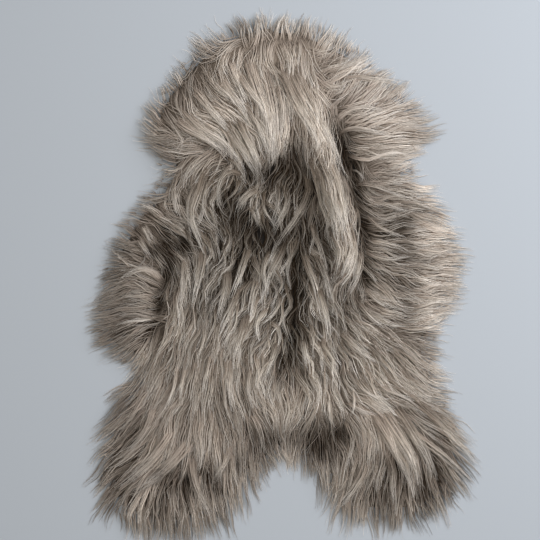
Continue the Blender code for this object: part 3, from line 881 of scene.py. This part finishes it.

# the locks that catch the eye, read off the photograph: paler by, breadth as a share of the usual
# lock's, then x, y of its line from root to tip, in the photograph's pixels
pictureScale, pictureOrigin = 1.9 * mm, (286, 276)     # metres in a pixel, and the pixel at the origin
drawnLocks = {
    "ridge": (
        (0.24, 2.4, 286,60, 294,78, 303,98, 314,120, 326,143, 335,163, 342,182),
        (0.2, 1.8, 276,58, 287,82, 298,108, 312,132, 322,156, 329,178),
        (0.36, 1.1, 316,134, 327,158, 337,181, 341,200, 346,222, 349,240, 352,258),
        (0.1, 1.0, 309,136, 320,160, 330,184, 333,202, 340,222, 343,240, 348,260),
        (0.24, 0.9, 304,142, 313,164, 323,186, 326,205, 334,224, 336,242, 342,256),
        (0.3, 0.9, 303,148, 313,168, 318,188, 321,204, 327,220, 329,236, 333,251),
        (0.06, 0.8, 311,156, 320,175, 324,192, 331,208, 332,226, 337,242),
        (0.28, 1.1, 342,212, 349,234, 353,252, 349,270, 338,286),
        (0.3, 0.4, 352,200, 357,213, 358,228, 355,246, 352,262),
        (0.18, 1.2, 350,228, 352,242, 350,254, 345,266, 339,278),
        (0.14, 1.3, 358,248, 358,264, 354,279, 347,293),
    ),
    "neck": (
        (0.2, 1.8, 247,46, 251,70, 259,96, 268,120, 271,146, 272,168),
        (0.14, 1.6, 262,60, 268,84, 273,104, 276,124, 277,146, 275,162),
        (0.18, 1.6, 222,112, 232,134, 244,152, 254,169, 266,186),
        (0.16, 1.4, 243,96, 251,112, 260,130, 267,148, 270,164),
        (0.16, 1.5, 236,116, 243,132, 251,148, 258,164, 264,174),
        (0.16, 1.4, 228,58, 234,76, 242,94, 250,112),
        (0.14, 1.4, 236,70, 244,84, 253,97, 263,110, 268,126),
        (0.12, 1.3, 218,76, 225,86, 234,98, 243,110, 250,124),
        (0.1, 1.3, 275,78, 280,94, 283,110, 283,128, 281,144),
        (0.14, 1.4, 190,86, 202,100, 213,114, 225,127, 236,140),
        (0.12, 1.5, 176,100, 192,120, 208,134, 222,142, 238,160, 246,176),
        (0.12, 1.4, 172,116, 186,128, 204,138, 220,150, 232,164),
    ),
    "back": (
        (0.28, 1.3, 264,188, 250,194, 241,205, 236,222),
        (0.2, 0.9, 248,188, 238,173, 223,178, 218,198, 225,214, 232,221),
        (0.16, 0.6, 224,157, 236,165, 244,176, 247,191),
        (0.24, 1.2, 220,154, 207,172, 201,190, 194,212, 196,228, 203,246, 207,258),
        (0.18, 1.0, 222,166, 213,180, 206,196, 204,212, 198,228),
        (0.16, 1.2, 219,150, 203,161, 189,174, 186,190),
        (0.14, 1.0, 206,176, 196,190, 190,206, 191,224, 196,240),
        (0.16, 0.9, 249,206, 255,216, 260,229),
        (0.2, 1.1, 282,174, 285,190, 287,204, 280,219, 272,235, 267,246),
        (0.08, 0.8, 274,176, 279,190, 279,204, 275,216, 272,228),
        (0.28, 1.1, 298,160, 306,174, 309,189, 303,206, 292,224, 277,245, 267,268),
        (0.24, 1.1, 288,232, 284,248, 277,262, 270,275, 266,290, 260,302),
        (0.22, 0.9, 274,244, 267,258, 263,272, 266,286, 264,300),
        (0.26, 1.0, 296,230, 297,242, 290,257, 287,272, 290,290),
        (0.22, 0.9, 310,216, 313,232, 319,248, 326,276),
        (0.2, 0.6, 310,222, 313,236, 310,250, 309,258),
        (0.2, 1.0, 312,246, 319,262, 325,277, 328,292, 329,306),
    ),
    "loin": (
        (0.26, 1.2, 301,242, 307,264, 314,284, 319,304, 324,326),
        (0.28, 1.3, 251,242, 245,261, 239,279, 231,300),
        (0.18, 1.1, 240,280, 237,293, 231,308, 224,322, 219,336),
        (0.2, 1.3, 202,242, 203,260, 198,284, 192,308),
        (0.14, 1.3, 187,252, 185,278, 181,308),
        (0.22, 1.3, 226,264, 228,284, 222,306, 218,324),
        (0.24, 0.9, 288,274, 286,289, 291,304, 282,318, 285,330, 290,342),
        (0.18, 1.3, 260,275, 253,296, 250,322),
        (0.2, 1.3, 314,280, 320,298, 326,320, 328,340),
        (0.2, 0.8, 270,304, 262,314, 257,324, 259,340),
        (0.18, 0.8, 266,320, 276,325, 280,335, 278,350),
        (0.18, 0.8, 280,292, 277,306, 270,316, 262,322),
        (0.16, 1.4, 248,312, 243,330, 237,350, 235,370),
        (0.14, 1.2, 280,336, 274,354, 268,370, 263,384),
        (0.14, 1.2, 302,334, 305,352, 309,370),
        (0.14, 1.2, 336,326, 349,339, 364,352, 378,362),
    ),
    "leftFlank": (
        (0.12, 1.1, 142,224, 149,234, 154,247),
        (0.12, 1.1, 138,238, 147,250, 155,261),
        (0.14, 1.0, 165,287, 158,275, 147,269, 134,271, 118,279),
        (0.12, 0.5, 134,270, 122,259, 110,248),
        (0.12, 1.2, 166,222, 156,212, 144,206, 134,207),
    ),
    "rightShoulder": (
        (0.04, 1.3, 334,86, 351,79, 376,80, 408,85),
        (0.08, 0.9, 330,132, 338,120, 350,112, 366,110, 384,114),
        (0.06, 0.9, 334,142, 343,132, 356,130, 374,134, 396,138),
        (0.14, 0.7, 341,152, 354,159, 369,161, 391,154, 417,158),
        (0.1, 0.8, 348,184, 366,185, 385,191, 407,200),
        (0.2, 0.3, 347,172, 355,171, 361,178, 359,188),
    ),
    "rightFlank": (
        (0.06, 0.9, 362,206, 376,203, 392,208, 408,212),
        (0.18, 0.5, 361,212, 371,222, 384,231, 410,240),
        (0.14, 0.8, 364,240, 382,243, 397,247, 410,254),
        (0.06, 0.9, 360,248, 374,256, 390,259, 408,256),
        (0.2, 0.7, 357,258, 363,267, 371,275, 378,286),
        (0.1, 0.8, 360,284, 370,295, 384,305, 402,309),
        (0.1, 1.0, 355,298, 363,309, 374,320, 388,330),
    ),
    "rightLeg": (
        (0.11, 2.2, 376,402, 388,420, 399,437, 408,452, 414,470, 417,490),
        (0.1, 2.0, 366,402, 379,422, 390,442, 401,462, 409,480, 414,498),
        (0.09, 1.8, 386,398, 399,414, 410,430, 421,448, 429,466, 434,482),
        (0.14, 1.3, 397,418, 414,432, 432,446, 448,459, 463,474, 476,488),
        (0.08, 1.4, 403,392, 420,406, 434,418, 447,431, 461,446, 475,462, 487,474),
        (0.14, 0.6, 351,384, 353,399, 351,415),
        (0.05, 0.6, 354,374, 359,385, 369,392, 381,396, 393,396),
        (0.06, 0.6, 343,398, 360,408, 377,412),
        (0.1, 0.8, 342,412, 348,426, 352,438, 349,454, 343,470),
        (0.04, 1.5, 366,450, 361,472, 348,494, 332,513),
        (0.04, 1.4, 384,446, 391,466, 392,488, 394,512),
        (0.04, 1.2, 426,466, 435,490, 443,510, 450,530),
    ),
    "leftLeg": (
        (0.1, 1.8, 196,430, 181,451, 160,473, 133,493),
        (0.1, 1.8, 180,418, 168,438, 152,458, 133,475, 114,490),
        (0.1, 1.6, 158,400, 154,418, 146,432, 134,446, 120,458),
        (0.1, 1.4, 193,446, 194,474, 204,502, 214,528),
        (0.12, 1.4, 203,410, 199,426, 201,442, 202,456, 199,472),
        (0.12, 1.1, 231,445, 234,470, 241,496),
        (0.12, 0.9, 232,438, 227,458, 219,472, 212,486),
        (0.16, 1.5, 228,350, 229,372, 231,392, 234,410),
        (0.24, 0.6, 180,356, 177,374, 174,390, 168,404, 162,414),
        (0.2, 0.6, 188,362, 185,376, 182,390, 183,404),
        (0.12, 1.0, 213,350, 210,364, 206,380, 204,394),
        (0.14, 1.1, 250,408, 260,430, 263,456),
        (0.12, 0.9, 252,362, 249,378, 249,392, 254,406),
    ),
}
drawn = {
    "points": 12,
    "lift": 7 * mm,
    "rootDepth": 18 * mm,
    "surfacing": 0.24,         # the share of its length that lies under the surface
    "lowest": 2 * mm,
    "highest": 64 * mm,
    "clump": 0.7,
    "warmth": 0.5,
    "toneFrom": (0.65, 0.18),  # the coat's tone there, flattened, before the lock's own
    "contrast": 0.95,
    "palest": 0.88,
    # painted shade: the share of its tone that a lock keeps at its root, deep in the coat
    "paintedRootShade": 0.5,
}


def onPart(pixels):
    return (np.reshape(pixels, (-1, 2)) - pictureOrigin) * (pictureScale, -pictureScale)


def smoothLine(corners, count):
    # evenly spaced points on a smooth line through the corners
    padded = np.vstack([2 * corners[0] - corners[1], corners, 2 * corners[-1] - corners[-2]])
    fine = []
    for a, b, c, d in zip(padded, padded[1:], padded[2:], padded[3:]):
        for t in np.linspace(0, 1, 12, endpoint=False):
            fine.append(b + 0.5 * t * (c - a + t * (2 * a - 5 * b + 4 * c - d + t * (3 * (b - c) + d - a))))
    fine = np.array(fine + [corners[-1]])
    run = np.concatenate([[0], np.cumsum(np.linalg.norm(np.diff(fine, axis=0), axis=1))])
    even = np.linspace(0, run[-1], count)
    return np.stack([np.interp(even, run, fine[:, axis]) for axis in (0, 1)], axis=1)


def drawnGuides():
    rows = [lock for place in drawnLocks.values() for lock in place]
    paler, breadth = np.array([lock[:2] for lock in rows]).T
    lines = np.array([smoothLine(onPart(lock[2:]), drawn["points"]) for lock in rows])
    count, steps = lines.shape[:2]
    depth = sample(surface, lines)
    rising = np.sin(surfacing(steps, drawn["surfacing"]) * math.pi / 2)
    top = depth - drawn["rootDepth"] * (1 - rising) + drawn["lift"] * rising * liftShare(depth)
    top = np.clip(top, drawn["lowest"], drawn["highest"])
    flattened, lifted = drawn["toneFrom"]
    # a lock's paler by is partly its own colour and partly a painted highlight on these raised locks
    tone = woolAt(lines, "tone") * flattened + lifted + drawn["contrast"] * paler[:, None]
    qualities = {
        "tone": np.clip(tone, 0, drawn["palest"]) * (drawn["paintedRootShade"] + (1 - drawn["paintedRootShade"]) * rising),
        "warmth": np.clip(woolAt(lines[:, steps // 2], "warmth", drawn["warmth"]), 0, 1),
        "clump": np.full(count, drawn["clump"]),
        "breadth": breadth,
    }
    return np.concatenate([lines, top[:, :, None]], axis=2), qualities


drawnValues = {
    **strandValues,
    "Strands": 19,
    "Root Spread": 7.5 * mm,
    "Tip Spread": 2.5 * mm,
    "Flatness": 0.35,
    "Frizz": 7.5 * mm,
    "Root Width": 1.4 * mm,
    "Seed": 80,
}
drawnPiece = runTree(guideObject("drawn", *drawnGuides()), strandsTree, drawnValues, "topLocks")
woolPieces.append(drawnPiece)
print("top locks", sum(len(place) for place in drawnLocks.values()), "triangles", triangleCount(drawnPiece))

# single paler hairs that stray over the locks and past the rim
strayHairs = {
    "spacing": 27 * mm,
    "jitter": 0.45,
    "lift": 4.5 * mm,
    "stray": 24,
    "reach": 11 * mm,
    "points": 9,
    "paler": 0.12,
}
strayValues = {
    **strandValues,
    "Strands": 3,
    "Root Spread": 16 * mm,
    "Tip Spread": 12 * mm,
    "Frizz": 22 * mm,
    "Flatness": 0.45,
    "Root Width": 1.1 * mm,
    "Tone Range": 0.14,
    "Side Shade": 0.0,
    "Seed": 40,
}
strayPlaces = lockPlaces(strayHairs["spacing"], strayHairs["jitter"], rng)
spots, qualities = lockGuides(strayPlaces, strayHairs["points"], rng, lift=strayHairs["lift"],
                              stray=strayHairs["stray"], extraReach=strayHairs["reach"])
qualities["tone"] = np.clip(qualities["tone"] + strayHairs["paler"], 0, 1)
strayPiece = runTree(guideObject("strays", spots, qualities), strandsTree, strayValues, "strayHairs")
woolPieces.append(strayPiece)
print("stray hairs", triangleCount(strayPiece))

underwool = makeUndercoat(felted)
print("undercoat triangles", triangleCount(underwool))
leather.data.materials.clear()
leather.data.materials.append(tanned)

# floor, camera and light
view = {
    "middle": (-30.4 * mm, 11.4 * mm),   # the point of the floor in the middle of the picture
    "across": 1.026,                     # metres of floor across the picture
    "height": 3.2,
    "sensor": 36.0,
    "floorSize": 12,
    "floorColor": "#A6ABB0",
}
floorMaterial, _, setFloorShader = newMaterial("palePaper")
setFloorShader({"Base Color": linearColor(view["floorColor"]), "Roughness": 0.9})
bpy.ops.mesh.primitive_plane_add(size=view["floorSize"])
floor = bpy.context.object
floor.name = "floor"
floor.data.materials.append(floorMaterial)

cameraData = bpy.data.cameras.new("camera")
cameraData.sensor_width = view["sensor"]
cameraData.lens = view["sensor"] * view["height"] / view["across"]
camera = addToScene("camera", cameraData)
camera.location = (*view["middle"], view["height"])
bpy.context.scene.camera = camera

lights = {
    "windowRight": {"at": (2.1, 1.1, 1.8), "size": 2.0, "power": 96, "color": "#F3F7FF"},
    "ceiling": {"at": (0.2, 0.1, 3.1), "size": 2.8, "power": 51, "color": "#FFFAF2"},
}
for lightName, values in lights.items():
    lightData = bpy.data.lights.new(lightName, "AREA")
    lightData.size = values["size"]
    lightData.energy = values["power"]
    lightData.color = linearColor(values["color"])[:3]
    light = addToScene(lightName, lightData)
    light.location = values["at"]
    light.rotation_euler = (-Vector(values["at"])).to_track_quat("-Z", "Y").to_euler()
world = bpy.data.worlds.new("studio")
world.use_nodes = True
world.node_tree.nodes["Background"].inputs["Color"].default_value = linearColor("#F2F3F5")
world.node_tree.nodes["Background"].inputs["Strength"].default_value = 0.35
bpy.context.scene.world = world
bpy.context.scene.view_settings.view_transform = "Standard"

for piece in woolPieces + [underwool]:
    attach(piece, "root")
    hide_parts("fleece")
print("pieces", len(woolPieces) + 1, "triangles", sum(triangleCount(p) for p in woolPieces + [underwool]))
